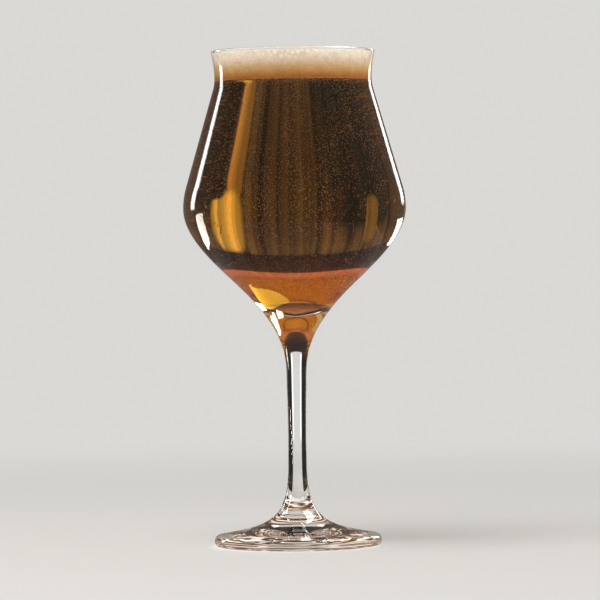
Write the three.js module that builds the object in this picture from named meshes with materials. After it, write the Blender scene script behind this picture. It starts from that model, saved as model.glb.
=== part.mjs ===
// Stemmed beer glass with its beer: a thin blown bowl, a drawn stem and a pressed foot, fused end to end,
// and the beer with its head of foam standing in the bowl.
// Millimetres, +Z up, origin on the table under the middle of the foot.
import * as THREE from "three";

// Driving dimensions of the foot. Heights of a piece are measured from its own lower end.
const FOOT_HEIGHT = 21; // table to the joint with the stem
const FOOT_RADIUS = 34.2;
const FOOT_EDGE_THICKNESS = 4.8; // of the rounded outer edge
const FOOT_EDGE_ROUND = 1.9; // how far the edge bulges beyond the flat ring
const FOOT_RING_WIDTH = 4.6; // flat ring that stands on the table
const FOOT_HOLLOW_DEPTH = 1.5; // dished underside inside the ring
const FOOT_NECK_PULL = 11.5; // how long the foot keeps the steep line of its neck
const FOOT_DOME_PULL = 18; // how long it keeps the shallow line of its top
const FOOT_NECK_SLOPE = 0.3; // radius gained per height going down from the joint
const FOOT_DOME_SLOPE = 0.17; // height lost per radius at the outer edge

// Driving dimensions of the stem.
const STEM_LENGTH = 61;
const STEM_FOOT_RADIUS = 4.95; // at the joint with the foot
const STEM_FOOT_SLOPE = -0.2;
const STEM_WAIST_HEIGHT = 16;
const STEM_WAIST_RADIUS = 3.75;
const STEM_FLARE_HEIGHT = 43; // where the stem starts to widen towards the bowl
const STEM_FLARE_RADIUS = 4.05;
const STEM_FLARE_SLOPE = 0.03;
const STEM_BOWL_RADIUS = 5.75; // at the joint with the bowl
const STEM_BOWL_SLOPE = 0.33; // shared by the stem and the bowl, so the outline runs on across the joint

// Driving dimensions of the bowl, all of its outer face unless said otherwise.
const BOWL_HEIGHT = 121;
const BOWL_WALL = 1.2;
const CONE_HEIGHT = 26; // middle of the wide lower cone
const CONE_RADIUS = 24.75;
const CONE_SLOPE = 1.08;
const BELLY_HEIGHT = 56.3;
const BELLY_RADIUS = 45.6;
const SHOULDER_BLEND = 9; // height of the rounding above the belly
const NECK_BLEND = 5; // height of the rounding below the neck
const NECK_HEIGHT = 109.8;
const NECK_RADIUS = 32.15;
const RIM_RADIUS = 33.5;
const RIM_SLOPE = 0.2;
const FLOOR_THICKNESS = 15; // solid glass from the joint to the inside of the bowl
const FLOOR_BLEND = 16; // height over which the thick base thins out into the wall
const FLOOR_PULL = 4.5; // how long the inside stays level at the middle of its floor
const FLOOR_WALL_PULL = 14; // how long it keeps the line of the wall going down

// Driving dimensions of the drink.
const DRINK_GAP = 0.2; // left between the drink and the glass
const HEAD_BELOW_RIM = 1.6; // edge of the foam under the lip
const HEAD_DEPTH = 10.4;
const HEAD_CROWN = 0.9; // rise of the foam towards its middle

// Fineness of the turned surfaces.
const SIDES = 40;
const STEPS_PER_STATION = 4;
const ROUND_STEPS = 6;

// Heights of the joints above the table.
const STEM_JOINT_Z = FOOT_HEIGHT;
const BOWL_JOINT_Z = STEM_JOINT_Z + STEM_LENGTH;
const RIM_Z = BOWL_JOINT_Z + BOWL_HEIGHT;
const FLOOR_Z = BOWL_JOINT_Z + FLOOR_THICKNESS;
const HEAD_Z = RIM_Z - HEAD_BELOW_RIM;
const BEER_Z = HEAD_Z - HEAD_DEPTH;

// Colours and finishes.
const GLASS_FINISH = { color: 0xf2f5f4, roughness: 0.03, metalness: 0, transparent: true, opacity: 0.35 };
const BEER_FINISH = { color: 0x8a4a10, roughness: 0.08, metalness: 0, transparent: true, opacity: 0.85 };
const FOAM_FINISH = { color: 0xe6dac8, roughness: 0.8, metalness: 0 };

// Value and slope at x of the smooth curve that leaves (x0, y0) at slope0 and reaches (x1, y1) at slope1.
function blend(start, end, x) {
  const span = end.x - start.x;
  const t = (x - start.x) / span;
  const rise = end.y - start.y;
  const bend = start.slope * span - rise;
  const unbend = rise - end.slope * span;
  const value = start.y + t * rise + t * (1 - t) * (bend * (1 - t) + unbend * t);
  const slope = (rise + (1 - 2 * t) * (bend * (1 - t) + unbend * t) + t * (1 - t) * (unbend - bend)) / span;
  return { value, slope };
}

function station(x, y, slope) {
  return { x, y, slope };
}

// Radius and slope of a row of stations at one height.
function radiusAt(stations, height) {
  let index = 0;
  while (index < stations.length - 2 && height > stations[index + 1].x) {
    index += 1;
  }
  return blend(stations[index], stations[index + 1], height);
}

// Heights that cut each stretch between two stations into equal steps.
function heightsBetween(stations, low, high) {
  const inner = stations.map((stop) => stop.x).filter((height) => height > low && height < high);
  const stops = [low, ...inner, high];
  const heights = [low];
  for (let index = 1; index < stops.length; index += 1) {
    for (let step = 1; step <= STEPS_PER_STATION; step += 1) {
      heights.push(THREE.MathUtils.lerp(stops[index - 1], stops[index], step / STEPS_PER_STATION));
    }
  }
  return heights;
}

// Outline points of the outer face of a stack of stations, from low to high.
function outerFace(stations, low, high) {
  return heightsBetween(stations, low, high).map(
    (height) => new THREE.Vector2(radiusAt(stations, height).value, height),
  );
}

// One solid of revolution, whose outline runs up the outside from the axis and back to the axis.
function turned(name, outline, finish) {
  const geometry = new THREE.LatheGeometry(outline, SIDES);
  geometry.rotateX(Math.PI / 2);
  const mesh = new THREE.Mesh(geometry, new THREE.MeshStandardMaterial(finish));
  mesh.name = name;
  return mesh;
}

function onAxis(height) {
  return new THREE.Vector2(0, height);
}

// Outer face of the bowl. The straight upper cone touches the roundings of the belly and of the neck.
function bowlStations() {
  const coneRun = NECK_HEIGHT - BELLY_HEIGHT - (NECK_BLEND + SHOULDER_BLEND) / 2;
  const lean = (BELLY_RADIUS - NECK_RADIUS) / coneRun;
  const shoulderRadius = BELLY_RADIUS - (lean * SHOULDER_BLEND) / 2;
  const neckRadius = NECK_RADIUS + (lean * NECK_BLEND) / 2;
  return [
    station(BOWL_JOINT_Z, STEM_BOWL_RADIUS, STEM_BOWL_SLOPE),
    station(BOWL_JOINT_Z + CONE_HEIGHT, CONE_RADIUS, CONE_SLOPE),
    station(BOWL_JOINT_Z + BELLY_HEIGHT, BELLY_RADIUS, 0),
    station(BOWL_JOINT_Z + BELLY_HEIGHT + SHOULDER_BLEND, shoulderRadius, -lean),
    station(BOWL_JOINT_Z + NECK_HEIGHT - NECK_BLEND, neckRadius, -lean),
    station(BOWL_JOINT_Z + NECK_HEIGHT, NECK_RADIUS, 0),
    station(RIM_Z - BOWL_WALL / 2, RIM_RADIUS, RIM_SLOPE),
  ];
}

// Radius of a face that lies a given depth inside the outer face, measured square to it.
function insideRadius(stations, height, depth) {
  const { value, slope } = radiusAt(stations, height);
  return value - depth * Math.hypot(1, slope);
}

// Outline of the bowl's inside, drawn in by a gap, from the middle of its floor up to a height.
function cavityFace(stations, gap, top) {
  const depth = BOWL_WALL + gap;
  const wallFoot = FLOOR_Z + FLOOR_BLEND;
  const wall = heightsBetween(stations, wallFoot, top).map(
    (height) => new THREE.Vector2(insideRadius(stations, height, depth), height),
  );
  const wallLine = new THREE.Vector2(radiusAt(stations, wallFoot).slope, 1).normalize();
  const middle = onAxis(FLOOR_Z + gap);
  const floor = new THREE.CubicBezierCurve(
    middle,
    new THREE.Vector2(FLOOR_PULL, middle.y),
    wall[0].clone().addScaledVector(wallLine, -FLOOR_WALL_PULL),
    wall[0],
  ).getPoints(2 * ROUND_STEPS);
  return [...floor.slice(0, -1), ...wall];
}

// Quarter-round stretches of an ellipse from one angle to another, without its two ends.
function roundStretch(centre, across, up, from, to) {
  const points = [];
  for (let step = 1; step < ROUND_STEPS; step += 1) {
    const angle = THREE.MathUtils.lerp(from, to, step / ROUND_STEPS);
    points.push(new THREE.Vector2(centre.x + across * Math.cos(angle), centre.y + up * Math.sin(angle)));
  }
  return points;
}

function makeBowl() {
  const stations = bowlStations();
  const lipZ = RIM_Z - BOWL_WALL / 2;
  const outside = outerFace(stations, BOWL_JOINT_Z, lipZ);
  const inside = cavityFace(stations, 0, lipZ).reverse();
  const lipCentre = new THREE.Vector2((RIM_RADIUS + inside[0].x) / 2, lipZ);
  const lip = roundStretch(lipCentre, RIM_RADIUS - lipCentre.x, BOWL_WALL / 2, 0, Math.PI);
  return turned("bowl", [onAxis(BOWL_JOINT_Z), ...outside, ...lip, ...inside], GLASS_FINISH);
}

function makeStem() {
  const stations = [
    station(STEM_JOINT_Z, STEM_FOOT_RADIUS, STEM_FOOT_SLOPE),
    station(STEM_JOINT_Z + STEM_WAIST_HEIGHT, STEM_WAIST_RADIUS, 0),
    station(STEM_JOINT_Z + STEM_FLARE_HEIGHT, STEM_FLARE_RADIUS, STEM_FLARE_SLOPE),
    station(BOWL_JOINT_Z, STEM_BOWL_RADIUS, STEM_BOWL_SLOPE),
  ];
  const outside = outerFace(stations, STEM_JOINT_Z, BOWL_JOINT_Z);
  return turned("stem", [onAxis(STEM_JOINT_Z), ...outside, onAxis(BOWL_JOINT_Z)], GLASS_FINISH);
}

// The foot rises from a rounded edge over a shallow dome into a steep neck, and is dished underneath.
function makeFoot() {
  const ringOuter = FOOT_RADIUS - FOOT_EDGE_ROUND;
  const ringInner = ringOuter - FOOT_RING_WIDTH;
  const hollowTop = station(0, FOOT_HOLLOW_DEPTH, 0);
  const hollowFoot = station(ringInner, 0, (-2 * FOOT_HOLLOW_DEPTH) / ringInner);
  const hollow = [];
  for (let step = 0; step <= ROUND_STEPS; step += 1) {
    const radius = (ringInner * step) / ROUND_STEPS;
    hollow.push(new THREE.Vector2(radius, blend(hollowTop, hollowFoot, radius).value));
  }
  const edgeCentre = new THREE.Vector2(ringOuter, FOOT_EDGE_THICKNESS / 2);
  const edge = roundStretch(edgeCentre, FOOT_EDGE_ROUND, FOOT_EDGE_THICKNESS / 2, -Math.PI / 2, Math.PI / 2);
  const domeEdge = new THREE.Vector2(ringOuter, FOOT_EDGE_THICKNESS);
  const neckTop = new THREE.Vector2(STEM_FOOT_RADIUS, STEM_JOINT_Z);
  const domeLine = new THREE.Vector2(-1, FOOT_DOME_SLOPE).normalize();
  const neckLine = new THREE.Vector2(FOOT_NECK_SLOPE, -1).normalize();
  const top = new THREE.CubicBezierCurve(
    domeEdge,
    domeEdge.clone().addScaledVector(domeLine, FOOT_DOME_PULL),
    neckTop.clone().addScaledVector(neckLine, FOOT_NECK_PULL),
    neckTop,
  ).getPoints(2 * ROUND_STEPS);
  const outline = [...hollow, new THREE.Vector2(ringOuter, 0), ...edge, ...top, onAxis(STEM_JOINT_Z)];
  return turned("foot", outline, GLASS_FINISH);
}

function makeBeer() {
  const face = cavityFace(bowlStations(), DRINK_GAP, BEER_Z);
  return turned("beer", [...face, onAxis(BEER_Z)], BEER_FINISH);
}

// The foam stands on the beer, fills the neck and crowns slightly towards its middle.
function makeHead() {
  const stations = bowlStations();
  const depth = BOWL_WALL + DRINK_GAP;
  const side = heightsBetween(stations, BEER_Z, HEAD_Z).map(
    (height) => new THREE.Vector2(insideRadius(stations, height, depth), height),
  );
  const crownRadius = side[side.length - 1].x;
  const crown = roundStretch(onAxis(HEAD_Z), crownRadius, HEAD_CROWN, 0, Math.PI / 2);
  const outline = [onAxis(BEER_Z), ...side, ...crown, onAxis(HEAD_Z + HEAD_CROWN)];
  return turned("foam_head", outline, FOAM_FINISH);
}

const glass = new THREE.Group();
glass.add(makeFoot(), makeStem(), makeBowl(), makeBeer(), makeHead());

export default glass;
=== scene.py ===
"""Looks of the stemmed beer glass: clear glass, amber beer with fine bubbles, and a head of foam.

Sizes are in metres, in the frame of the CAD part: +Z up along the axis of the glass, which stands on z = 0.
"""
import math

import bpy
import numpy as np
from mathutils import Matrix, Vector, noise


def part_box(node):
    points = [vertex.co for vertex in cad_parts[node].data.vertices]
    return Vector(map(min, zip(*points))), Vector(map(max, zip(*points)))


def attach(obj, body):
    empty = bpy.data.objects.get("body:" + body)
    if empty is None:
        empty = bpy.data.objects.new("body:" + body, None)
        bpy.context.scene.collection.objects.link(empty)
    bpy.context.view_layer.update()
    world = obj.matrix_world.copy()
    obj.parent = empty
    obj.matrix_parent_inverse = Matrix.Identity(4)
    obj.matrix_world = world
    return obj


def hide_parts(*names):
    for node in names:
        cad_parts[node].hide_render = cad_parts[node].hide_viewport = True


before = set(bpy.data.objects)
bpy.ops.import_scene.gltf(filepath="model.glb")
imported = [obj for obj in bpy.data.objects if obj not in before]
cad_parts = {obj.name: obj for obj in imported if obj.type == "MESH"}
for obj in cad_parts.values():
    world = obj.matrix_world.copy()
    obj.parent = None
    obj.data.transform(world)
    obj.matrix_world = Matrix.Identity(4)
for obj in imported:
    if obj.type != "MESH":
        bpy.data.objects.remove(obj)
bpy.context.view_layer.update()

MM = 0.001

# Sizes that the frame gives
FOOT_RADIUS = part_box("foot")[1].x
STEM_JOINT_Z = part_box("stem")[0].z
BOWL_JOINT_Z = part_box("stem")[1].z
STEM_BOWL_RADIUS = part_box("stem")[1].x
BELLY_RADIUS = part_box("bowl")[1].x
RIM_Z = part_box("bowl")[1].z
BEER_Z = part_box("beer")[1].z
HEAD_TOP_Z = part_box("foam_head")[1].z

# Sizes of the foot that its box does not give
FOOT_EDGE_THICKNESS = 4.8 * MM
FOOT_EDGE_ROUND = 1.9 * MM
FOOT_RING_WIDTH = 4.6 * MM
FOOT_HOLLOW_DEPTH = 1.5 * MM
FOOT_NECK_PULL = 11.5 * MM
FOOT_DOME_PULL = 18 * MM
FOOT_NECK_SLOPE = 0.3
FOOT_DOME_SLOPE = 0.17

# Sizes of the stem, above the joint with the foot
STEM_FOOT_RADIUS = 4.95 * MM
STEM_FOOT_SLOPE = -0.2
STEM_WAIST_HEIGHT = 16 * MM
STEM_WAIST_RADIUS = 3.75 * MM
STEM_FLARE_HEIGHT = 43 * MM
STEM_FLARE_RADIUS = 4.05 * MM
STEM_FLARE_SLOPE = 0.03
STEM_BOWL_SLOPE = 0.33

# Sizes of the bowl, above the joint with the stem
BOWL_WALL = 1.2 * MM
CONE_HEIGHT = 26 * MM
CONE_RADIUS = 24.75 * MM
CONE_SLOPE = 1.08
BELLY_HEIGHT = 56.3 * MM
SHOULDER_BLEND = 9 * MM
NECK_BLEND = 5 * MM
NECK_HEIGHT = 109.8 * MM
NECK_RADIUS = 32.15 * MM
RIM_RADIUS = 33.5 * MM
RIM_SLOPE = 0.2
BASE_THICKNESS = 15 * MM
FLOOR_Z = BOWL_JOINT_Z + BASE_THICKNESS
FLOOR_BLEND = 16 * MM
FLOOR_PULL = 4.5 * MM
FLOOR_WALL_PULL = 14 * MM

# Sizes of the beer and of the head of foam
WETTING = 0.02 * MM
HEAD_BELOW_RIM = 1.6 * MM
HEAD_CREEP = 0.65 * MM
HEAD_CREEP_WIDTH = 2 * MM
HEAD_DIP = 0.9 * MM
HEAD_HANG = 0.6 * MM
HEAD_HANG_WIDTH = 3 * MM
HEAD_RAGGED_SIZE = 1.5 * MM
HEAD_RAGGED_LEAST = 0.15
HEAD_CROWN_SHARE = 0.45
HEAD_DOME_SHARE = 0.5
HEAD_BUBBLE_COUNT = 320
HEAD_BUBBLE_RADII = (0.5 * MM, 1.9 * MM)

# Bubbles in the beer, and the collar of them under the foam
BUBBLE_SEED = 11
BUBBLE_COUNT = 8000
BUBBLE_RADII = (0.05 * MM, 0.12 * MM)
BUBBLE_WALL_SHARE = 0.6
BUBBLE_WALL_DEPTH = 2 * MM
BUBBLE_CLEAR_RADII = 2
COLLAR_COUNT = 9000
COLLAR_RADII = (0.07 * MM, 0.2 * MM)
COLLAR_DEPTH = 0.5 * MM

# Powers that make small bubbles commoner than large ones
HEAD_BUBBLE_SKEW = 4
BUBBLE_SKEW = 3
COLLAR_SKEW = 2

# Fineness of the meshes
SIDES = 192
STATION_STEPS = 24
ROUND_STEPS = 16
FOAM_SIDES = 384
FOAM_RINGS = 72
CREASE_ANGLE = math.radians(50)
FOAM_CREASE_ANGLE = math.radians(60)
ON_AXIS = 1e-9


def hermite(start, end, x):
    """Value and slope at x of the smooth curve between two (x, y, slope) stations."""
    x0, y0, slope0 = start
    x1, y1, slope1 = end
    span = x1 - x0
    t = (x - x0) / span
    rise = y1 - y0
    bend = slope0 * span - rise
    unbend = rise - slope1 * span
    mix = bend * (1 - t) + unbend * t
    value = y0 + t * rise + t * (1 - t) * mix
    slope = (rise + (1 - 2 * t) * mix + t * (1 - t) * (unbend - bend)) / span
    return value, slope


def radius_at(stations, height):
    """Radius and slope of a row of stations at one height."""
    index = 0
    while index < len(stations) - 2 and height > stations[index + 1][0]:
        index += 1
    return hermite(stations[index], stations[index + 1], height)


def heights_between(stations, low, high):
    """Heights that cut each stretch between two stations into equal steps."""
    stops = [low] + [s[0] for s in stations if low < s[0] < high] + [high]
    heights = [low]
    for bottom, top in zip(stops, stops[1:]):
        heights += [bottom + (top - bottom) * step / STATION_STEPS for step in range(1, STATION_STEPS + 1)]
    return heights


def outer_face(stations, low, high):
    """Outline of the outside between two heights."""
    return [(radius_at(stations, z)[0], z) for z in heights_between(stations, low, high)]


def inside_radius(stations, height, depth):
    """Radius of a face that lies a given depth inside the outer face, measured square to it."""
    value, slope = radius_at(stations, height)
    return value - depth * math.hypot(1, slope)


def round_stretch(centre, across, up, start, end):
    """Stretch of an ellipse from one angle to another, without its two ends."""
    angles = [start + (end - start) * step / ROUND_STEPS for step in range(1, ROUND_STEPS)]
    return [(centre[0] + across * math.cos(a), centre[1] + up * math.sin(a)) for a in angles]


def bezier(p0, p1, p2, p3, steps):
    """Points of the cubic curve from p0 to p3 that p1 and p2 pull."""
    points = []
    for step in range(steps + 1):
        t = step / steps
        weights = ((1 - t) ** 3, 3 * t * (1 - t) ** 2, 3 * t * t * (1 - t), t ** 3)
        pulls = list(zip(weights, (p0, p1, p2, p3)))
        points.append(tuple(sum(w * p[axis] for w, p in pulls) for axis in (0, 1)))
    return points


def cavity_face(stations, gap, top):
    """Outline of the bowl's inside, drawn in by a gap, from the middle of its floor up to a height."""
    depth = BOWL_WALL + gap
    wall_foot = FLOOR_Z + FLOOR_BLEND
    wall = [(inside_radius(stations, z, depth), z) for z in heights_between(stations, wall_foot, top)]
    slope = radius_at(stations, wall_foot)[1]
    length = math.hypot(1, slope)
    floor = bezier(
        (0, FLOOR_Z + gap),
        (FLOOR_PULL, FLOOR_Z + gap),
        (wall[0][0] - FLOOR_WALL_PULL * slope / length, wall_foot - FLOOR_WALL_PULL / length),
        wall[0],
        STATION_STEPS)
    return floor[:-1] + wall


def bowl_stations():
    """Height, radius and slope of the bowl's outside, from the stem to the lip."""
    cone_run = NECK_HEIGHT - BELLY_HEIGHT - (NECK_BLEND + SHOULDER_BLEND) / 2
    lean = (BELLY_RADIUS - NECK_RADIUS) / cone_run
    joint = BOWL_JOINT_Z
    return [
        (joint, STEM_BOWL_RADIUS, STEM_BOWL_SLOPE),
        (joint + CONE_HEIGHT, CONE_RADIUS, CONE_SLOPE),
        (joint + BELLY_HEIGHT, BELLY_RADIUS, 0),
        (joint + BELLY_HEIGHT + SHOULDER_BLEND, BELLY_RADIUS - lean * SHOULDER_BLEND / 2, -lean),
        (joint + NECK_HEIGHT - NECK_BLEND, NECK_RADIUS + lean * NECK_BLEND / 2, -lean),
        (joint + NECK_HEIGHT, NECK_RADIUS, 0),
        (RIM_Z - BOWL_WALL / 2, RIM_RADIUS, RIM_SLOPE),
    ]


BOWL = bowl_stations()


def new_object(name, vertices, faces, materials, face_slots=None):
    """Smooth mesh object; face slots give the material of each face."""
    mesh = bpy.data.meshes.new(name)
    mesh.from_pydata(vertices, [], faces)
    for material in materials:
        mesh.materials.append(material)
    if face_slots is not None:
        mesh.polygons.foreach_set("material_index", face_slots)
    mesh.shade_smooth()
    mesh.validate()
    obj = bpy.data.objects.new(name, mesh)
    bpy.context.scene.collection.objects.link(obj)
    return obj


def turned(name, outline, materials, slots=None):
    """Closed solid of revolution. The outline runs up the outside from the axis and back to the axis.

    Slots give the material of each stretch of the outline.
    """
    turn = np.arange(SIDES) * math.tau / SIDES
    vertices = []
    rings = []
    for r, z in outline:
        if r < ON_AXIS:
            rings.append([len(vertices)])
            vertices.append((0, 0, z))
            continue
        rings.append(list(range(len(vertices), len(vertices) + SIDES)))
        vertices += [(r * math.cos(a), r * math.sin(a), z) for a in turn]
    faces = []
    face_slots = []
    for k, (low, high) in enumerate(zip(rings, rings[1:])):
        for i in range(SIDES):
            j = (i + 1) % SIDES
            if len(low) == 1:
                faces.append((low[0], high[j], high[i]))
            elif len(high) == 1:
                faces.append((low[i], low[j], high[0]))
            else:
                faces.append((low[i], low[j], high[j], high[i]))
            face_slots.append(slots[k] if slots else 0)
    obj = new_object(name, vertices, faces, materials, face_slots)
    obj.data.set_sharp_from_angle(angle=CREASE_ANGLE)
    return obj


# Materials

WHITE = (1, 1, 1)

GLASS_IOR = 1.5
GLASS_TINT = (0.985, 0.995, 0.99)
GLASS_WAVES_PER_METRE = 45
GLASS_WAVE_STRENGTH = 0.25
GLASS_WAVE_DEPTH = 0.1 * MM

BEER_IOR = 1.34
BEER_DYE = (0.91, 0.74, 0.24)
BEER_DYE_DENSITY = 40
HAZE_COLOUR = (1, 0.97, 0.9)
HAZE_PER_METRE = 60
SPECK_COLOUR = (0.44, 0.25, 0.12)
SPECK_SHARE = 0.55
SPECKS_PER_METRE = 1450
SPECK_REACH = 0.25
SPECK_REACH_LOW = 0.5
CROWDS_PER_METRE = 110
CROWD_RANGE = (0.25, 0.55)
CROWD_DRAWN_OUT = 0.12
# Painted amber glow on the faces of the beer near the floor of the bowl, which clouds them
BOTTOM_GLOW_COLOUR = (0.58, 0.2, 0.055)
BOTTOM_GLOW_DEPTH = 3.5 * MM
BOTTOM_GLOW_SHARE = 0.45
BOTTOM_GLOW_EDGE = 0.25

# Colours of the foam from the beer, at 0, to its top, at 1: the amber and brown low down are painted light
# from the beer, the pale top is the foam's own colour
FOAM_BANDS = [
    (0.0, (0.44, 0.16, 0.022)),
    (0.15, (0.58, 0.27, 0.046)),
    (0.45, (0.73, 0.53, 0.285)),
    (0.8, (0.92, 0.84, 0.74)),
]
FOAM_DRIFT = 2 * MM
FOAM_DRIFTS_PER_METRE = 260
FOAM_CELLS_PER_METRE = 1500
FOAM_CELL_STRENGTH = 0.5
FOAM_CELL_DEPTH = 0.15 * MM
FOAM_PORE = (0.86, 0.82, 0.78)
COARSE_CELLS_PER_METRE = 550
COARSE_SKIN = (1.03, 1.03, 1.03)
COARSE_PORE = (0.8, 0.75, 0.68)
COARSE_PATCHES_PER_METRE = 75
COARSE_PATCH_RANGE = (0.46, 0.6)
COARSE_LEVELS = (0.55, 0.85)
MOTTLES_PER_METRE = 420
MOTTLE_DARK = (0.95, 0.935, 0.92)
MOTTLE_LIGHT = (1.05, 1.05, 1.05)
UNDERSIDE_COLOUR = (0.98, 0.93, 0.85)
UNDERSIDE_TILT = (-0.3, -0.8)
UNDERSIDE_EDGE = 4 * MM

BUBBLE_DARK = (0.28, 0.16, 0.07)
BUBBLE_PALE = (0.62, 0.4, 0.2)
BUBBLE_GRAINS_PER_METRE = 900
BUBBLE_ALPHA = 0.5
COLLAR_COLOUR = (0.28, 0.10, 0.035)


def node_material(name):
    material = bpy.data.materials.new(name)
    material.use_nodes = True
    tree = material.node_tree
    shader = tree.nodes["Principled BSDF"]
    return material, tree, shader


def bare_material(name):
    """Material with nothing but its output, and the socket for what it shows."""
    material = bpy.data.materials.new(name)
    material.use_nodes = True
    tree = material.node_tree
    tree.nodes.clear()
    return material, tree, tree.nodes.new("ShaderNodeOutputMaterial").inputs["Surface"]


def spot_of(tree):
    """Place on the piece, in metres."""
    return tree.nodes.new("ShaderNodeTexCoord").outputs["Object"]


def add_split(tree, vector=None):
    """X, Y and Z of a vector, or else of the place on the piece."""
    split = tree.nodes.new("ShaderNodeSeparateXYZ")
    tree.links.new(spot_of(tree) if vector is None else vector, split.inputs[0])
    return split.outputs


def add_reach(tree):
    """Distance of the place on the piece from the axis of the glass."""
    x, y, z = add_split(tree)
    flat = tree.nodes.new("ShaderNodeCombineXYZ")
    tree.links.new(x, flat.inputs["X"])
    tree.links.new(y, flat.inputs["Y"])
    length = tree.nodes.new("ShaderNodeVectorMath")
    length.operation = "LENGTH"
    tree.links.new(flat.outputs[0], length.inputs[0])
    return length.outputs["Value"]


def add_noise(tree, scale, detail=2.0, vector=None):
    grain = tree.nodes.new("ShaderNodeTexNoise")
    grain.inputs["Scale"].default_value = scale
    grain.inputs["Detail"].default_value = detail
    tree.links.new(spot_of(tree) if vector is None else vector, grain.inputs["Vector"])
    return grain.outputs["Fac"]


def add_cells(tree, scale):
    cells = tree.nodes.new("ShaderNodeTexVoronoi")
    cells.inputs["Scale"].default_value = scale
    tree.links.new(spot_of(tree), cells.inputs["Vector"])
    return cells.outputs["Distance"]


def add_ramp(tree, value, stops):
    """Colours along a value from 0 to 1; stops are (position, colour)."""
    ramp = tree.nodes.new("ShaderNodeValToRGB")
    elements = ramp.color_ramp.elements
    while len(elements) < len(stops):
        elements.new(0.5)
    for element, (position, colour) in zip(elements, stops):
        element.position = position
        element.color = (*colour, 1)
    tree.links.new(value, ramp.inputs[0])
    return ramp.outputs["Color"]


def add_math(tree, operation, first, second):
    """Math node; each input is a socket or a number."""
    node = tree.nodes.new("ShaderNodeMath")
    node.operation = operation
    for socket, value in zip(node.inputs, (first, second)):
        if isinstance(value, (int, float)):
            socket.default_value = value
        else:
            tree.links.new(value, socket)
    return node.outputs[0]


def add_largest(tree, first, *others):
    """Largest of some values."""
    largest = first
    for other in others:
        largest = add_math(tree, "MAXIMUM", largest, other)
    return largest


def add_mix(tree, factor, first, second, blend="MIX"):
    """Colour mix; each colour is a socket or a tuple, and the factor is a socket or a number."""
    node = tree.nodes.new("ShaderNodeMix")
    node.data_type = "RGBA"
    node.blend_type = blend
    sockets = (node.inputs["Factor"], *[s for s in node.inputs if s.type == "RGBA"])
    for socket, value in zip(sockets, (factor, first, second)):
        if isinstance(value, tuple):
            socket.default_value = (*value, 1)
        elif isinstance(value, (int, float)):
            socket.default_value = value
        else:
            tree.links.new(value, socket)
    return next(s for s in node.outputs if s.type == "RGBA")


def add_range(tree, value, low, high, smooth=False):
    """Value stretched so that low becomes 0 and high becomes 1."""
    node = tree.nodes.new("ShaderNodeMapRange")
    if smooth:
        node.interpolation_type = "SMOOTHSTEP"
    node.inputs["From Min"].default_value = low
    node.inputs["From Max"].default_value = high
    tree.links.new(value, node.inputs["Value"])
    return node.outputs["Result"]


def add_rise(tree, share, least):
    """A least value where a share is 0, rising to 1 where the share is 1."""
    return add_math(tree, "ADD", add_math(tree, "MULTIPLY", share, 1 - least), least)


def add_bump(tree, shader, height, strength, distance):
    bump = tree.nodes.new("ShaderNodeBump")
    bump.inputs["Strength"].default_value = strength
    bump.inputs["Distance"].default_value = distance
    tree.links.new(height, bump.inputs["Height"])
    tree.links.new(bump.outputs[0], shader.inputs["Normal"])


def glass_material(name, ior):
    """Clear blown glass, with the faint waviness that bends its reflections."""
    material, tree, shader = node_material(name)
    shader.inputs["Transmission Weight"].default_value = 1
    shader.inputs["IOR"].default_value = ior
    shader.inputs["Roughness"].default_value = 0
    waves = add_noise(tree, GLASS_WAVES_PER_METRE, detail=1)
    tint = add_ramp(tree, waves, [(0.3, GLASS_TINT), (0.7, WHITE)])
    tree.links.new(tint, shader.inputs["Base Color"])
    add_bump(tree, shader, waves, GLASS_WAVE_STRENGTH, GLASS_WAVE_DEPTH)
    return material


def joint_material():
    """The fused faces inside the glass, which light crosses unbent."""
    material, tree, surface = bare_material("fused_joint")
    tree.links.new(tree.nodes.new("ShaderNodeBsdfTransparent").outputs[0], surface)
    return material


def add_specks(tree):
    """1 on the specks of gas that cling to the glass in upright crowds, smaller towards the floor."""
    upright = tree.nodes.new("ShaderNodeVectorMath")
    upright.operation = "MULTIPLY"
    upright.inputs[1].default_value = (1, 1, CROWD_DRAWN_OUT)
    tree.links.new(spot_of(tree), upright.inputs[0])
    crowd = add_range(tree, add_noise(tree, CROWDS_PER_METRE, vector=upright.outputs[0]), *CROWD_RANGE)
    height = add_range(tree, add_split(tree)["Z"], FLOOR_Z, FLOOR_Z + 2 * FLOOR_BLEND)
    reach = add_math(tree, "MULTIPLY", crowd, SPECK_REACH)
    reach = add_math(tree, "MULTIPLY", reach, add_rise(tree, height, SPECK_REACH_LOW))
    return add_math(tree, "LESS_THAN", add_cells(tree, SPECKS_PER_METRE), reach)


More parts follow.
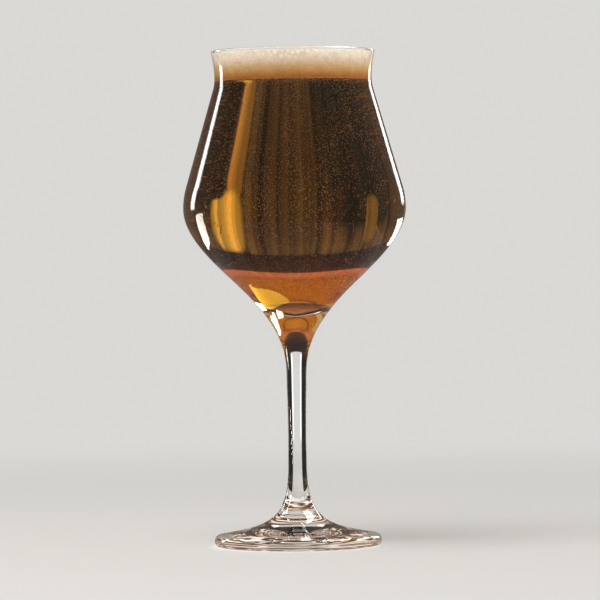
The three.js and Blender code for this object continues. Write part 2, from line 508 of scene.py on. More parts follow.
def beer_material():
    """Clear amber liquid that swallows blue first, then green, with specks of gas on its faces and a
    painted amber glow on them near the floor of the bowl.

    The wet face of the bowl bends the light, so the beer itself does not.
    """
    material, tree, shader = node_material("amber_beer")
    shader.inputs["IOR"].default_value = 1
    shader.inputs["Roughness"].default_value = 0
    haze = add_ramp(tree, add_noise(tree, HAZE_PER_METRE), [(0.35, HAZE_COLOUR), (0.65, WHITE)])
    # Painted amber glow, from the floor of the bowl up to a few millimetres above it
    bottom_glow = add_range(tree, add_split(tree)["Z"], FLOOR_Z + BOTTOM_GLOW_DEPTH, FLOOR_Z + BOTTOM_GLOW_DEPTH / 2)
    speck = add_specks(tree)
    colour = add_mix(tree, add_range(tree, bottom_glow, 0, BOTTOM_GLOW_EDGE), haze, BOTTOM_GLOW_COLOUR)
    tree.links.new(add_mix(tree, speck, colour, SPECK_COLOUR), shader.inputs["Base Color"])
    speck_cloud = add_math(tree, "MULTIPLY", speck, SPECK_SHARE)
    bottom_glow_cloud = add_math(tree, "MULTIPLY", bottom_glow, BOTTOM_GLOW_SHARE)
    clear = add_math(tree, "SUBTRACT", 1, add_largest(tree, speck_cloud, bottom_glow_cloud))
    tree.links.new(clear, shader.inputs["Transmission Weight"])
    dye = tree.nodes.new("ShaderNodeVolumeAbsorption")
    dye.inputs["Color"].default_value = (*BEER_DYE, 1)
    dye.inputs["Density"].default_value = BEER_DYE_DENSITY
    tree.links.new(dye.outputs[0], tree.nodes["Material Output"].inputs["Volume"])
    return material


def add_underside(tree):
    """1 on faces that look down, fading to 0 near the wall of the neck."""
    normal = add_split(tree, tree.nodes.new("ShaderNodeNewGeometry").outputs["True Normal"])
    downward = add_range(tree, normal["Z"], *UNDERSIDE_TILT)
    inner = add_range(tree, add_reach(tree), NECK_RADIUS, NECK_RADIUS - UNDERSIDE_EDGE)
    return add_math(tree, "MULTIPLY", downward, inner)


def foam_material():
    """Off-white foam of fine bubbles, painted with amber light from the beer low down, and coarser in
    patches near the top.
    """
    material, tree, shader = node_material("beer_foam")
    drift = add_math(tree, "SUBTRACT", add_noise(tree, FOAM_DRIFTS_PER_METRE, detail=4), 0.5)
    drift = add_math(tree, "MULTIPLY", drift, FOAM_DRIFT)
    height = add_math(tree, "ADD", add_split(tree)["Z"], drift)
    level = add_range(tree, height, BEER_Z, RIM_Z - HEAD_BELOW_RIM)
    # Painted amber light from the beer, strongest just above it and fading to the foam's own colour at the
    # top
    painted_beer_light = add_ramp(tree, level, FOAM_BANDS)

    cells = add_cells(tree, FOAM_CELLS_PER_METRE)
    coarse_cells = add_cells(tree, COARSE_CELLS_PER_METRE)
    fine = add_ramp(tree, cells, [(0.1, WHITE), (0.75, FOAM_PORE)])
    coarse = add_ramp(tree, coarse_cells, [(0.2, COARSE_SKIN), (0.65, COARSE_PORE)])
    patches = add_range(tree, add_noise(tree, COARSE_PATCHES_PER_METRE), *COARSE_PATCH_RANGE)
    patches = add_math(tree, "MULTIPLY", patches, add_range(tree, level, *COARSE_LEVELS))
    pores = add_mix(tree, patches, fine, coarse)

    blotches = add_noise(tree, MOTTLES_PER_METRE, detail=3)
    mottle = add_ramp(tree, blotches, [(0.3, MOTTLE_DARK), (0.7, MOTTLE_LIGHT)])
    body = add_mix(tree, 1.0, add_mix(tree, 1.0, painted_beer_light, pores, "MULTIPLY"), mottle, "MULTIPLY")
    below = add_mix(tree, 0.5, UNDERSIDE_COLOUR, pores, "MULTIPLY")
    tree.links.new(add_mix(tree, add_underside(tree), body, below), shader.inputs["Base Color"])
    shader.inputs["Roughness"].default_value = 0.7
    shader.inputs["Subsurface Weight"].default_value = 0.6
    shader.inputs["Subsurface Radius"].default_value = (1, 0.7, 0.4)
    shader.inputs["Subsurface Scale"].default_value = 3 * MM
    add_bump(tree, shader, add_math(tree, "SUBTRACT", 1, cells), FOAM_CELL_STRENGTH, FOAM_CELL_DEPTH)
    return material


def bubble_material():
    """Skin of the gas bubbles: pale specks, darker in the collar under the foam."""
    material, tree, shader = node_material("bubble_skin")
    grain = add_noise(tree, BUBBLE_GRAINS_PER_METRE)
    speck = add_ramp(tree, grain, [(0.3, BUBBLE_DARK), (0.7, BUBBLE_PALE)])
    collar_top = BEER_Z - HEAD_HANG
    collar = add_range(tree, add_split(tree)["Z"], collar_top - 4 * COLLAR_DEPTH, collar_top - COLLAR_DEPTH)
    tree.links.new(add_mix(tree, collar, speck, COLLAR_COLOUR), shader.inputs["Base Color"])
    shader.inputs["Roughness"].default_value = 0.3
    shader.inputs["Alpha"].default_value = BUBBLE_ALPHA
    return material


GLASS = glass_material("clear_glass", GLASS_IOR)
WET_GLASS = glass_material("wet_glass", GLASS_IOR / BEER_IOR)
JOINT = joint_material()
BEER = beer_material()
FOAM = foam_material()
BUBBLE = bubble_material()


# Pieces of the object

GLASS_SLOT, JOINT_SLOT, WET_SLOT = range(3)


def make_bowl():
    """Bowl with a rounded lip, its inside wet up to the top of the beer."""
    lip_z = RIM_Z - BOWL_WALL / 2
    outside = outer_face(BOWL, BOWL_JOINT_Z, lip_z)
    wet = cavity_face(BOWL, 0, BEER_Z)[::-1]
    dry = [(inside_radius(BOWL, z, BOWL_WALL), z) for z in heights_between(BOWL, BEER_Z, lip_z)][::-1]
    lip_centre = ((RIM_RADIUS + dry[0][0]) / 2, lip_z)
    lip = round_stretch(lip_centre, RIM_RADIUS - lip_centre[0], BOWL_WALL / 2, 0, math.pi)
    outline = [(0, BOWL_JOINT_Z)] + outside + lip + dry + wet[1:]
    plain = len(outline) - 1 - len(wet)
    slots = [JOINT_SLOT] + [GLASS_SLOT] * plain + [WET_SLOT] * (len(wet) - 1)
    return turned("glass_bowl", outline, [GLASS, JOINT, WET_GLASS], slots)


def make_stem():
    """Solid stem, waisted and widening to both ends."""
    stations = [
        (STEM_JOINT_Z, STEM_FOOT_RADIUS, STEM_FOOT_SLOPE),
        (STEM_JOINT_Z + STEM_WAIST_HEIGHT, STEM_WAIST_RADIUS, 0),
        (STEM_JOINT_Z + STEM_FLARE_HEIGHT, STEM_FLARE_RADIUS, STEM_FLARE_SLOPE),
        (BOWL_JOINT_Z, STEM_BOWL_RADIUS, STEM_BOWL_SLOPE),
    ]
    outside = outer_face(stations, STEM_JOINT_Z, BOWL_JOINT_Z)
    outline = [(0, STEM_JOINT_Z)] + outside + [(0, BOWL_JOINT_Z)]
    slots = [JOINT_SLOT] + [GLASS_SLOT] * (len(outside) - 1) + [JOINT_SLOT]
    return turned("glass_stem", outline, [GLASS, JOINT], slots)


def make_foot():
    """Foot with a dished underside, a flat ring to stand on, a rounded edge and a domed top."""
    ring_outer = FOOT_RADIUS - FOOT_EDGE_ROUND
    ring_inner = ring_outer - FOOT_RING_WIDTH
    hollow_top = (0, FOOT_HOLLOW_DEPTH, 0)
    hollow_foot = (ring_inner, 0, -2 * FOOT_HOLLOW_DEPTH / ring_inner)
    radii = [ring_inner * step / STATION_STEPS for step in range(STATION_STEPS + 1)]
    hollow = [(r, hermite(hollow_top, hollow_foot, r)[0]) for r in radii]
    edge_centre = (ring_outer, FOOT_EDGE_THICKNESS / 2)
    edge = round_stretch(edge_centre, FOOT_EDGE_ROUND, FOOT_EDGE_THICKNESS / 2, -math.pi / 2, math.pi / 2)
    dome_length = math.hypot(1, FOOT_DOME_SLOPE)
    neck_length = math.hypot(1, FOOT_NECK_SLOPE)
    dome_edge = (ring_outer, FOOT_EDGE_THICKNESS)
    dome_handle = (ring_outer - FOOT_DOME_PULL / dome_length,
                   FOOT_EDGE_THICKNESS + FOOT_DOME_PULL * FOOT_DOME_SLOPE / dome_length)
    neck_top = (STEM_FOOT_RADIUS, STEM_JOINT_Z)
    neck_handle = (STEM_FOOT_RADIUS + FOOT_NECK_PULL * FOOT_NECK_SLOPE / neck_length,
                   STEM_JOINT_Z - FOOT_NECK_PULL / neck_length)
    top = bezier(dome_edge, dome_handle, neck_handle, neck_top, 2 * STATION_STEPS)
    outline = hollow + [(ring_outer, 0)] + edge + top + [(0, STEM_JOINT_Z)]
    slots = [GLASS_SLOT] * (len(outline) - 2) + [JOINT_SLOT]
    return turned("glass_foot", outline, [GLASS, JOINT], slots)


def make_beer():
    """Beer that fills the bowl but for a hair along the wall, so that no two faces coincide."""
    face = cavity_face(BOWL, WETTING, BEER_Z)
    return turned("amber_beer", face + [(0, BEER_Z)], [BEER])


def head_bubbles(widest):
    """Centres and radii of the bubbles on top of the foam."""
    draws = np.random.default_rng(BUBBLE_SEED)
    small, large = HEAD_BUBBLE_RADII
    radii = small + (large - small) * draws.random(HEAD_BUBBLE_COUNT) ** HEAD_BUBBLE_SKEW
    reach = (widest - large) * np.sqrt(draws.random(HEAD_BUBBLE_COUNT))
    bearing = math.tau * draws.random(HEAD_BUBBLE_COUNT)
    centres = np.stack([reach * np.cos(bearing), reach * np.sin(bearing)], axis=1)
    return centres, radii


def dome_heights(spots, centres, radii):
    """Height at each spot of the tallest bubble dome that covers it."""
    reach = ((spots[:, None, :] - centres[None, :, :]) ** 2).sum(axis=2)
    return np.sqrt(np.clip(radii ** 2 - reach, 0, None)).max(axis=1)


def near_edge(radius, share, width):
    """1 at the edge of a round face, falling to 0 at a width inside it."""
    return max(0, 1 - radius * (1 - share) / width)


def foam_rings():
    """Rings of (spots, heights): ragged underside in the beer, side against the glass, bubbly crown."""
    head_z = RIM_Z - HEAD_BELOW_RIM
    head_rise = HEAD_TOP_Z - head_z
    tallest_dome = HEAD_BUBBLE_RADII[1]
    depth = BOWL_WALL - WETTING
    side = [(inside_radius(BOWL, z, depth), z) for z in heights_between(BOWL, BEER_Z, head_z + HEAD_CREEP)]
    low_radius = side[0][0]
    top_radius = side[-1][0]
    angles = np.arange(FOAM_SIDES) * math.tau / FOAM_SIDES
    turn = np.stack([np.cos(angles), np.sin(angles)], axis=1)
    centres, radii = head_bubbles(top_radius)

    rings = []
    for step in range(1, FOAM_RINGS + 1):
        spots = turn * low_radius * step / FOAM_RINGS
        ragged = np.array([0.5 + 0.5 * noise.noise(Vector((x, y, 0)) / HEAD_RAGGED_SIZE) for x, y in spots])
        hang = HEAD_HANG * near_edge(low_radius, step / FOAM_RINGS, HEAD_HANG_WIDTH)
        dip = (HEAD_DIP - hang) * (HEAD_RAGGED_LEAST + (1 - HEAD_RAGGED_LEAST) * ragged)
        rings.append((spots, BEER_Z - hang - dip))
    for radius, z in side[1:]:
        rings.append((turn * radius, np.full(FOAM_SIDES, z)))
    for step in range(FOAM_RINGS - 1, 0, -1):
        share = step / FOAM_RINGS
        spots = turn * top_radius * share
        crown = head_z + head_rise * HEAD_CROWN_SHARE * math.sqrt(1 - share ** 4)
        creep = HEAD_CREEP * near_edge(top_radius, share, HEAD_CREEP_WIDTH) ** 2
        domes = dome_heights(spots, centres, radii) * head_rise * HEAD_DOME_SHARE / tallest_dome
        rings.append((spots, crown + creep + domes))
    return rings


def make_foam():
    """Head of foam, closed by a fan of faces at the middle of its underside and of its crown."""
    rings = foam_rings()
    vertices = [(0, 0, BEER_Z - HEAD_DIP / 2)]
    for spots, heights in rings:
        vertices += [(x, y, z) for (x, y), z in zip(spots, heights)]
    vertices.append((0, 0, rings[-1][1].mean()))
    faces = []
    for i in range(FOAM_SIDES):
        j = (i + 1) % FOAM_SIDES
        faces.append((0, 1 + j, 1 + i))
        for k in range(len(rings) - 1):
            low = 1 + k * FOAM_SIDES
            high = low + FOAM_SIDES
            faces.append((low + i, low + j, high + j, high + i))
        last = 1 + (len(rings) - 1) * FOAM_SIDES
        faces.append((last + i, last + j, len(vertices) - 1))
    foam = new_object("foam_head_crown", vertices, faces, [FOAM])
    foam.data.set_sharp_from_angle(angle=FOAM_CREASE_ANGLE)
    return foam


def bubble_places():
    """Centres and radii of the bubbles: most near the wall, some all through the beer, and the collar."""
    draws = np.random.default_rng(BUBBLE_SEED)
    low = FLOOR_Z + FLOOR_BLEND
    high = BEER_Z - 2 * HEAD_DIP
    places = []
    while len(places) < BUBBLE_COUNT:
        z = low + (high - low) * draws.random()
        wall = inside_radius(BOWL, z, BOWL_WALL)
        size = BUBBLE_RADII[0] + (BUBBLE_RADII[1] - BUBBLE_RADII[0]) * draws.random() ** BUBBLE_SKEW
        at_wall = draws.random() < BUBBLE_WALL_SHARE
        inset = draws.exponential(BUBBLE_WALL_DEPTH) if at_wall else wall * (1 - math.sqrt(draws.random()))
        bearing = math.tau * draws.random()
        keep = draws.random() < wall / BELLY_RADIUS
        reach = wall - inset - BUBBLE_CLEAR_RADII * size
        if keep and reach > 0:
            places.append((reach * math.cos(bearing), reach * math.sin(bearing), z, size))
    for _ in range(COLLAR_COUNT):
        size = COLLAR_RADII[0] + (COLLAR_RADII[1] - COLLAR_RADII[0]) * draws.random() ** COLLAR_SKEW
        z = BEER_Z - HEAD_HANG - draws.exponential(COLLAR_DEPTH)
        wall = inside_radius(BOWL, z, BOWL_WALL)
        reach = wall - BUBBLE_CLEAR_RADII * size - draws.exponential(COLLAR_DEPTH)
        bearing = math.tau * draws.random()
        places.append((reach * math.cos(bearing), reach * math.sin(bearing), z, size))
    return places


def make_bubbles():
    """Every bubble is a small twenty-sided ball."""
    golden = (1 + math.sqrt(5)) / 2
    corners = [Vector(c).normalized() for c in (
        (-1, golden, 0), (1, golden, 0), (-1, -golden, 0), (1, -golden, 0),
        (0, -1, golden), (0, 1, golden), (0, -1, -golden), (0, 1, -golden),
        (golden, 0, -1), (golden, 0, 1), (-golden, 0, -1), (-golden, 0, 1))]
    sides = (
        (0, 11, 5), (0, 5, 1), (0, 1, 7), (0, 7, 10), (0, 10, 11),
        (1, 5, 9), (5, 11, 4), (11, 10, 2), (10, 7, 6), (7, 1, 8),
        (3, 9, 4), (3, 4, 2), (3, 2, 6), (3, 6, 8), (3, 8, 9),
        (4, 9, 5), (2, 4, 11), (6, 2, 10), (8, 6, 7), (9, 8, 1))
    vertices = []
    faces = []
    for x, y, z, size in bubble_places():
        first = len(vertices)
        vertices += [(x + c.x * size, y + c.y * size, z + c.z * size) for c in corners]
        faces += [tuple(first + corner for corner in side) for side in sides]
    return new_object("rising_bubbles", vertices, faces, [BUBBLE])


def place(piece, slot, *nodes):
    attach(piece, "root")
    if nodes:
        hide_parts(*nodes)


place(make_bowl(), "clear_glass", "bowl")
place(make_stem(), "clear_glass", "stem")
place(make_foot(), "clear_glass", "foot")
place(make_beer(), "amber_beer", "beer")
place(make_foam(), "beer_foam", "foam_head")
place(make_bubbles(), "beer_foam")


# Stage: a pale floor and backdrop under a soft light

PALE = (0.70, 0.69, 0.67)
STAGE_LIGHT = 0.9
FLOOR_RADIUS = 14
FLOOR_SIDES = 64
FLOOR_CLEAR = 0.2
FLOOR_FADE = 0.9
TOP_LIGHT_PLACE = (-0.35, -0.45, 1.2)
TOP_LIGHT_TARGET = (0, 0, 0.1)
TOP_LIGHT_WIDTH = 0.9
TOP_LIGHT_WATTS = 9
RING_STEPS = 72

# Colours that the glass and the drink show of what is round them
SHADE_LOW = (0.053, 0.045, 0.064)
SHADE_HIGH = (0.078, 0.066, 0.070)
SHADE_TOP = (0.117, 0.100, 0.082)
DIM = (0.015, 0.015, 0.017)
GLOOM = (0.02, 0.018, 0.02)
COOL_GLOOM = (0.018, 0.024, 0.05)
AMBER = (0.67, 0.258, 0.27)
GOLD_LOW = (0.44, 0.28, 0.15)
GOLD_HIGH = (0.90, 0.70, 0.32)
DULL_GOLD = (0.26, 0.195, 0.12)
MIRROR = (0.20, 0.148, 0.12)
DARK = (0.016, 0.015, 0.013)
WARM = (0.05, 0.025, 0.011)
BRIGHT = (1.45, 1.22, 1.06)
TAN = (0.32, 0.19, 0.11)
SHEEN = (0.27, 0.215, 0.225)
SHEEN_BRIGHT = (0.33, 0.26, 0.26)
LEAF_DEEP = (1, 0.62, 0.06)
LEAF_PALE = (1, 0.78, 0.12)
WINDOW = (1.5, 1.46, 1.4)
FILL = (1.7, 1.7, 1.7)
CREAM = (1, 0.94, 0.84)

# The surround: a table top and a wall, drawn by elevation in degrees as seen from the belly
SURROUND_RADIUS = 1.5
SURROUND_HEIGHT = 3
TABLE_HOLE = 1 * MM
TABLE_LIFT = 0.4 * MM
BELLY_Z = BOWL_JOINT_Z + BELLY_HEIGHT
QUARTER = 90
LOWEST = -30
HIGHEST = 60
AMBER_FOOT = 31.6
AMBER_RISE = 1
SURROUND_BANDS = [
    (-12, SHADE_LOW), (-3, SHADE_HIGH), (9, SHADE_HIGH), (15, SHADE_TOP), (17.6, SHADE_TOP),
    (18.4, DIM), (AMBER_FOOT, DIM), (AMBER_FOOT + AMBER_RISE, AMBER)]
# Patches of it: left, right, lowest and highest angle, and colour
SURROUND_PATCHES = [
    (20.5, 42, -45, 3, GLOOM),
    (13.2, 18.7, -24, -3, GOLD_LOW),
    (13.5, 26.3, -5.5, 17.5, GOLD_HIGH),
    (19.8, 33, -11, -3, GLOOM),
    (-34, -6, -19, 8.5, COOL_GLOOM),
    (-26.5, -20.5, -4, 15, DULL_GOLD),
]
PATCH_ROUNDNESS = 4
PATCH_EDGE = (1.5, 0.4)
PATCH_FOLDS = 0.6
# Upright folds, as of cloth
FOLDS_PER_DEGREE = 0.3
FOLD_SHIFT = 33.7
FOLD_LEAST = 0.3
FOLD_DARK = (0.3, 0.3, 0.3)
FOLD_LIGHT = (1.68, 1.52, 1.55)
# What clear glass shows of it: dark corners and ceiling, bright windows and a rippled table
CEILING = 11
UNDERFOOT = -10
CORNER_AZIMUTH = 20
CORNER_START = 0.08
WINDOW_START = 13
WINDOW_SOFT_ACROSS = 1.5
WINDOW_SOFT_UP = 3
RIPPLE_END = 0.06
RIPPLES_PER_METRE = 160
# Light that has crossed more faces than this has come through the drink
GLASS_FACES = 4

# Strip lights: name, first and last azimuth, distance, lowest and highest point, strength
STRIPS = [
    ("left_strip_high", -57, -44.5, 1.4, 0.08, 0.75, 9),
    ("right_strip_high", 22, 37, 1.4, 0.15, 0.75, 5),
]
STRIP_SOFTNESS = 4
STRIP_END_SHARE = 1 / 8
STRIP_STEP = 5
# Cards for glints: name, distance, strength, and the azimuth, lowest and highest point of each upright edge
GLINTS = [
    ("base_glint", 0.04, 20, [(-114, 0.032, 0.041), (-100, 0.0445, 0.05), (-91, 0.0523, 0.0553)]),
    ("base_glint_tail", 0.03, 20, [(-88, 0.0698, 0.0722), (-70, 0.0732, 0.0782), (-58, 0.0756, 0.0808)]),
    ("base_glint_streak", 0.03, 20, [(-69, 0.0808, 0.085), (-60, 0.085, 0.0895), (-46, 0.0895, 0.0955)]),
    ("left_glint", 0.09, 9.5, [
        (-94, 0.128, 0.13), (-87, 0.104, 0.13), (-82, 0.097, 0.128),
        (-75, 0.088, 0.112), (-68, 0.085, 0.101), (-53, 0.09, 0.091)]),
    ("right_glint", 0.09, 5, [
        (36, 0.113, 0.116), (47, 0.101, 0.126), (52, 0.105, 0.128), (62, 0.114, 0.123), (67, 0.12, 0.121)]),
]
GLINT_CLOUDS_PER_METRE = 300
GLINT_CLOUD_RANGE = (0.2, 0.3)
# Leaf-shaped yellow light that lies under the bowl: its tip, the bend of its middle line and its stalk end
LEAF_LINE = [(-0.086, 0.093), (-0.074, -0.002), (-0.014, -0.0236)]
LEAF_STEPS = 12
LEAF_HALF_WIDTH = 0.0032
LEAF_Z = 0.024
LEAF_STRENGTH = 6
LEAF_GRAINS_PER_METRE = 60
# Level white card, high on the right, that the neck of the foot mirrors
OVERHEAD_CARD = [(0.21, -0.2), (0.07, 0.29), (0.4, 0.27), (0.47, -0.04)]
OVERHEAD_Z = 0.51
OVERHEAD_STRENGTH = 12
# Rings, as (radius, height) of their inner and outer edge, that set what the bowl's underside mirrors
FOOT_FLAG = [(0.0055, 0.023), (0.2, 0.023)]
LEAF_FLAG = [(0.05, 0.075), (0.125, 0.075)]
CONE_FLAG_HEIGHTS = (0.1068, 0.116)
CONE_FLAG_GAP = 0.5 * MM
FLAG_GRAINS_PER_METRE = 120


def seen_ray(tree):
    """1 for rays that look at the stage or see it in or through the glass, 0 for rays that gather light."""
    path = tree.nodes.new("ShaderNodeLightPath")
    kinds = ("Is Camera Ray", "Is Glossy Ray", "Is Transmission Ray")
    return add_largest(tree, *[path.outputs[kind] for kind in kinds])


def make_floor():
    """Pale floor that keeps the shadow round the glass and runs out into the backdrop further away."""
    turn = np.arange(FLOOR_SIDES) * math.tau / FLOOR_SIDES
    ring = [(FLOOR_RADIUS * math.cos(a), FLOOR_RADIUS * math.sin(a), 0) for a in turn]
    material, tree, shader = node_material("pale_floor")
    shader.inputs["Base Color"].default_value = (*PALE, 1)
    shader.inputs["Roughness"].default_value = 0.6
    shader.inputs["Specular IOR Level"].default_value = 0
    fade = add_range(tree, add_reach(tree), FLOOR_CLEAR, FLOOR_FADE, smooth=True)
    backdrop = tree.nodes.new("ShaderNodeEmission")
    backdrop.inputs["Color"].default_value = (*PALE, 1)
    mix = tree.nodes.new("ShaderNodeMixShader")
    tree.links.new(add_math(tree, "MULTIPLY", fade, seen_ray(tree)), mix.inputs[0])
    tree.links.new(shader.outputs[0], mix.inputs[1])
    tree.links.new(backdrop.outputs[0], mix.inputs[2])
    tree.links.new(mix.outputs[0], tree.nodes["Material Output"].inputs["Surface"])
    new_object("floor", ring, [tuple(range(FLOOR_SIDES))], [material])


def make_world():
    """Even light from all round, a little brighter where it is looked at."""
    world = bpy.data.worlds.new("studio")
    bpy.context.scene.world = world
    world.use_nodes = True
    tree = world.node_tree
    background = tree.nodes["Background"]
    background.inputs["Color"].default_value = (*PALE, 1)
    strength = tree.nodes.new("ShaderNodeMapRange")
    strength.inputs["To Min"].default_value = STAGE_LIGHT
    strength.inputs["To Max"].default_value = 1.0
    tree.links.new(seen_ray(tree), strength.inputs["Value"])
    tree.links.new(strength.outputs[0], background.inputs["Strength"])


def aim(obj, target):
    direction = Vector(target) - obj.location
    obj.rotation_euler = direction.to_track_quat("-Z", "Y").to_euler()


def make_top_light():
    """Soft light from above the front left, which no glass shows."""
    light = bpy.data.lights.new("top_light", "AREA")
    light.size = TOP_LIGHT_WIDTH
    light.energy = TOP_LIGHT_WATTS
    obj = bpy.data.objects.new("top_light", light)
    obj.location = TOP_LIGHT_PLACE
    bpy.context.scene.collection.objects.link(obj)
    aim(obj, TOP_LIGHT_TARGET)
    obj.visible_camera = False
    obj.visible_transmission = False
    obj.visible_glossy = False


def behind(azimuth, distance, height):
    """Place round the glass. Azimuth is counted from straight behind it, positive to the right."""
    angle = math.radians(azimuth)
    return Vector((distance * math.sin(angle), distance * math.cos(angle), height))


def set_apart(obj, transmission=True):
    """Stage piece without a shadow, seen only in the glass, and through it where transmission is set."""
    obj.visible_camera = False
    obj.visible_diffuse = False
    obj.visible_shadow = False
    obj.visible_transmission = transmission


def show_where(tree, surface, colour, shown, strength=1.0):
    """Glow in a colour for the rays that it is shown to, and nothing for the others."""
    shine = tree.nodes.new("ShaderNodeEmission")
    shine.inputs["Strength"].default_value = strength
    if isinstance(colour, tuple):
        shine.inputs["Color"].default_value = (*colour, 1)
    else:
        tree.links.new(colour, shine.inputs["Color"])
    mix = tree.nodes.new("ShaderNodeMixShader")
    tree.links.new(shown, mix.inputs[0])
    tree.links.new(tree.nodes.new("ShaderNodeBsdfTransparent").outputs[0], mix.inputs[1])
    tree.links.new(shine.outputs[0], mix.inputs[2])
    tree.links.new(mix.outputs[0], surface)


def front_side(tree):
    """1 for rays that meet the front of a face, 0 for the others."""
    return add_math(tree, "SUBTRACT", 1, tree.nodes.new("ShaderNodeNewGeometry").outputs["Backfacing"])


def add_degrees(tree, first, second):
    """Angle of a side against another, in degrees."""
    return add_math(tree, "MULTIPLY", add_math(tree, "ARCTAN2", first, second), 180 / math.pi)


def add_window(tree, value, low, high, soft):
    """1 between low and high, fading to 0 inside each end."""
    opens = add_range(tree, value, low, low + soft, smooth=True)
    closes = add_range(tree, value, high, high - soft, smooth=True)
    return add_math(tree, "MULTIPLY", opens, closes)


def add_patch(tree, azimuth, elevation, left, right, low, high):
    """1 inside a patch with rounded corners, fading to 0 at its edge."""
    reach = 0
    for value, start, end in ((azimuth, left, right), (elevation, low, high)):
        offset = add_math(tree, "SUBTRACT", value, (start + end) / 2)
        share = add_math(tree, "DIVIDE", add_math(tree, "ABSOLUTE", offset, 0), (end - start) / 2)
        reach = add_math(tree, "ADD", reach, add_math(tree, "POWER", share, PATCH_ROUNDNESS))
    return add_range(tree, reach, *PATCH_EDGE, smooth=True)


def swept(name, corners, material, front_up=True):
    """Surface that (radius, height) corners sweep round the axis, with its front up or down."""
    count = len(corners)
    vertices = [behind(360 * k / RING_STEPS, r, z) for k in range(RING_STEPS) for r, z in corners]
    faces = []
    for k in range(RING_STEPS):
        for step in range(count - 1):
            a = count * k + step
            b = count * ((k + 1) % RING_STEPS) + step
            faces.append((a, b, b + 1, a + 1) if front_up else (a, a + 1, b + 1, b))
    return new_object(name, vertices, faces, [material])


def make_card(name, distance, edges, material):
    """Curved upright card that only shows in reflections; edges are (azimuth, lowest, highest point)."""
    vertices = [behind(azimuth, distance, z) for azimuth, low, high in edges for z in (low, high)]
    faces = [(2 * k, 2 * k + 1, 2 * k + 3, 2 * k + 2) for k in range(len(edges) - 1)]
    set_apart(new_object(name, vertices, faces, [material]), transmission=False)


def strip_material(name, start, end, low, high, strength):
    """Soft-edged strip light, by azimuth and height."""
    material, tree, surface = bare_material(name)
    x, y, z = add_split(tree)
    across = add_window(tree, add_degrees(tree, x, y), start, end, STRIP_SOFTNESS)
    along = add_window(tree, z, low, high, (high - low) * STRIP_END_SHARE)
    show_where(tree, surface, WHITE, add_math(tree, "MULTIPLY", across, along), strength)
    return material


def make_strip(name, start, end, distance, low, high, strength):
    """Tall strip light that the sides of the bowl mirror."""
    steps = round((end - start) / STRIP_STEP)
    edges = [(start + (end - start) * step / steps, low, high) for step in range(steps + 1)]
    make_card(name, distance, edges, strip_material(name, start, end, low, high, strength))


def make_glint(name, distance, strength, edges):
    """Card whose reflection is a bright glint with a slightly broken edge."""
    material, tree, surface = bare_material(name)
    cloud = add_range(tree, add_noise(tree, GLINT_CLOUDS_PER_METRE), *GLINT_CLOUD_RANGE)
    show_where(tree, surface, CREAM, cloud, strength)
    make_card(name, distance, edges, material)


def make_leaf():
    """Leaf-shaped light, seen from above in reflections alone."""
    tip, bend, stalk = (Vector(point) for point in LEAF_LINE)
    one_side = []
    other_side = []
    for step in range(LEAF_STEPS + 1):
        t = step / LEAF_STEPS
        middle = tip * (1 - t) ** 2 + bend * 2 * t * (1 - t) + stalk * t ** 2
        along = ((bend - tip) * (1 - t) + (stalk - bend) * t).normalized()
        across = Vector((-along.y, along.x)) * LEAF_HALF_WIDTH * math.sqrt(max(0, math.sin(math.pi * t)))
        one_side.append((*(middle - across), LEAF_Z))
        other_side.append((*(middle + across), LEAF_Z))
    vertices = one_side + other_side
    faces = [(k, k + 1, LEAF_STEPS + 2 + k, LEAF_STEPS + 1 + k) for k in range(LEAF_STEPS)]
    material, tree, surface = bare_material("leaf_light")
    grain = add_noise(tree, LEAF_GRAINS_PER_METRE)
    yellow = add_ramp(tree, grain, [(0.35, LEAF_DEEP), (0.65, LEAF_PALE)])
    show_where(tree, surface, yellow, front_side(tree), LEAF_STRENGTH)
    set_apart(new_object("leaf_light", vertices, faces, [material]), transmission=False)


def make_overhead_card():
    """Level card, seen from below in reflections alone."""
    material, tree, surface = bare_material("overhead_card")
    show_where(tree, surface, CREAM, front_side(tree), OVERHEAD_STRENGTH)
    corners = [(x, y, OVERHEAD_Z) for x, y in OVERHEAD_CARD]
    set_apart(new_object("overhead_card", corners, [(0, 1, 2, 3)], [material]), transmission=False)


def make_flag(name, edges):
    """Level or sloping ring, seen from above in reflections alone."""
    material, tree, surface = bare_material(name)
    sheen = add_ramp(tree, add_noise(tree, FLAG_GRAINS_PER_METRE), [(0.4, SHEEN), (0.6, SHEEN_BRIGHT)])
    show_where(tree, surface, sheen, front_side(tree))
    set_apart(swept(name, edges, material), transmission=False)


def make_flags():
    """Rings under the bowl and close round its lower cone."""
    make_flag("foot_flag", FOOT_FLAG)
    make_flag("leaf_flag", LEAF_FLAG)
    make_flag("cone_flag", [(radius_at(BOWL, z)[0] + CONE_FLAG_GAP, z) for z in CONE_FLAG_HEIGHTS])


def surround_directions(tree):
    """Azimuth within a quarter turn, elevation as seen from the belly, and distance from the axis."""
    x, y, z = add_split(tree)
    bearing = add_math(tree, "ADD", add_degrees(tree, x, y), QUARTER / 2)
    azimuth = add_math(tree, "SUBTRACT", add_math(tree, "FLOORED_MODULO", bearing, QUARTER), QUARTER / 2)
    distance = add_reach(tree)
    elevation = add_degrees(tree, add_math(tree, "SUBTRACT", z, BELLY_Z), distance)
    return azimuth, elevation, distance


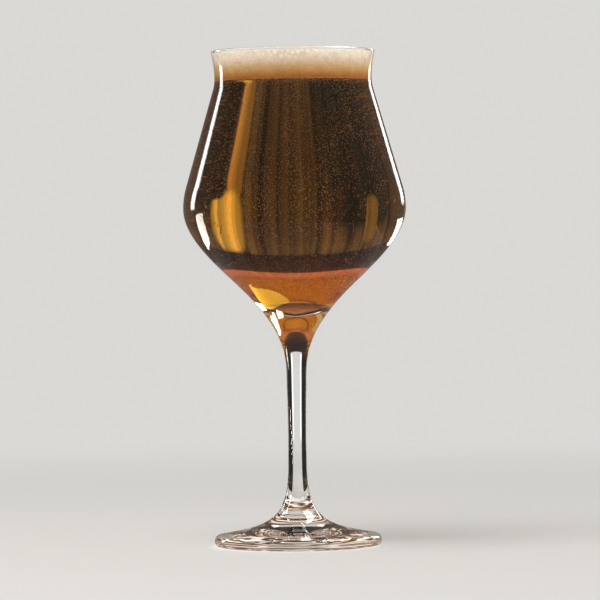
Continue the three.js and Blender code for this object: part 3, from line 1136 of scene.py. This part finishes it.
def dusk_colour(tree, azimuth, elevation):
    """What the drink shows of the surround: bands with soft upright folds, and the patches."""
    bands = [((angle - LOWEST) / (HIGHEST - LOWEST), colour) for angle, colour in SURROUND_BANDS]
    colour = add_ramp(tree, add_range(tree, elevation, LOWEST, HIGHEST), bands)
    folds = tree.nodes.new("ShaderNodeTexNoise")
    folds.noise_dimensions = "1D"
    folds.inputs["Scale"].default_value = FOLDS_PER_DEGREE
    folds.inputs["Detail"].default_value = 3
    tree.links.new(add_math(tree, "ADD", azimuth, FOLD_SHIFT), folds.inputs["W"])
    cloth = add_ramp(tree, folds.outputs["Fac"], [(0.36, FOLD_DARK), (0.66, FOLD_LIGHT)])
    below_amber = add_range(tree, elevation, AMBER_FOOT + AMBER_RISE, AMBER_FOOT)
    colour = add_mix(tree, add_rise(tree, below_amber, FOLD_LEAST), colour, cloth, "MULTIPLY")
    for left, right, low, high, glow in SURROUND_PATCHES:
        patch = add_patch(tree, azimuth, elevation, left, right, low, high)
        colour = add_mix(tree, patch, colour, add_mix(tree, PATCH_FOLDS, glow, cloth, "MULTIPLY"))
    return colour


def clear_view(tree, azimuth, elevation, distance, mirrored):
    """What clear glass shows of the surround, and 1 where it shows that instead of the pale stage."""
    aside = add_math(tree, "ABSOLUTE", azimuth, 0)
    corner = add_math(tree, "GREATER_THAN", aside, CORNER_AZIMUTH)
    corner = add_math(tree, "MULTIPLY", corner, add_math(tree, "GREATER_THAN", distance, CORNER_START))
    ceiling = add_math(tree, "GREATER_THAN", elevation, CEILING)
    below = add_math(tree, "MULTIPLY", mirrored, add_math(tree, "LESS_THAN", elevation, UNDERFOOT))
    across = add_window(tree, aside, WINDOW_START, CORNER_AZIMUTH, WINDOW_SOFT_ACROSS)
    upward = add_window(tree, elevation, UNDERFOOT, CEILING, WINDOW_SOFT_UP)
    window = add_math(tree, "MULTIPLY", across, upward)
    ripples = add_ramp(tree, add_noise(tree, RIPPLES_PER_METRE), [(0.4, WARM), (0.5, TAN), (0.6, BRIGHT)])
    table = add_mix(tree, add_range(tree, distance, RIPPLE_END, CORNER_START), ripples, DARK)
    colour = add_mix(tree, window, add_mix(tree, below, DARK, table), WINDOW)
    return colour, add_largest(tree, corner, ceiling, below, window)


def add_passed(tree, kind, times):
    """1 for rays that have met more than a number of faces of one kind, 0 for the others."""
    depth = tree.nodes.new("ShaderNodeLightPath").outputs[kind]
    return add_math(tree, "GREATER_THAN", depth, times + 0.5)


def surround_material():
    """Dusky surround that only the glass, the drink and their reflections show.

    It is drawn by direction and repeats in every quarter turn. Light on its way to the foam and the
    bubbles finds it plain white. Clear glass shows only its dark corners, ceiling and windows, and the
    pale stage elsewhere. The outside of the glass mirrors it as an even veil.
    """
    material, tree, surface = bare_material("surround")
    entered = add_passed(tree, "Transmission Depth", 0)
    crossed = add_passed(tree, "Transmission Depth", GLASS_FACES)
    mirrored = add_passed(tree, "Glossy Depth", 0)
    gathers = add_passed(tree, "Diffuse Depth", 0)
    azimuth, elevation, distance = surround_directions(tree)
    inside, clear = clear_view(tree, azimuth, elevation, distance, mirrored)
    clear = add_math(tree, "MULTIPLY", entered, clear)
    veil = add_math(tree, "MULTIPLY", mirrored, add_math(tree, "SUBTRACT", 1, entered))
    found = add_mix(tree, entered, MIRROR, inside)
    found = add_mix(tree, crossed, found, dusk_colour(tree, azimuth, elevation))
    found = add_mix(tree, gathers, found, FILL)
    show_where(tree, surface, found, add_largest(tree, crossed, gathers, clear, veil))
    return material


def make_surround():
    """Round table top and wall about the glass, seen only in or through it."""
    corners = [(TABLE_HOLE, TABLE_LIFT), (SURROUND_RADIUS, TABLE_LIFT), (SURROUND_RADIUS, SURROUND_HEIGHT)]
    set_apart(swept("surround", corners, surround_material(), front_up=False))


# Camera

CAMERA_DISTANCE = 1.65
CAMERA_HEIGHT = 0.122
CAMERA_AIM = (0.0018, 0, 0.1007)
CAMERA_ROLL = math.radians(0.68)
PIXELS_PER_METRE = 2442
IMAGE_WIDTH = 600
SENSOR_WIDTH = 36


def make_camera():
    """Camera in front of the glass, a little tilted, as in the photograph."""
    data = bpy.data.cameras.new("camera")
    camera = bpy.data.objects.new("camera", data)
    bpy.context.scene.collection.objects.link(camera)
    camera.location = (CAMERA_AIM[0], -CAMERA_DISTANCE, CAMERA_HEIGHT)
    aim(camera, CAMERA_AIM)
    camera.rotation_euler.rotate_axis("Z", -CAMERA_ROLL)
    data.sensor_width = SENSOR_WIDTH
    data.lens = SENSOR_WIDTH * PIXELS_PER_METRE * CAMERA_DISTANCE / IMAGE_WIDTH
    bpy.context.scene.camera = camera


make_floor()
make_world()
make_top_light()
make_surround()
make_flags()
make_leaf()
make_overhead_card()
for strip in STRIPS:
    make_strip(*strip)
for glint in GLINTS:
    make_glint(*glint)
make_camera()
scene = bpy.context.scene
scene.view_settings.view_transform = "Standard"
scene.cycles.max_bounces = 24
scene.cycles.transmission_bounces = 20
scene.cycles.glossy_bounces = 8
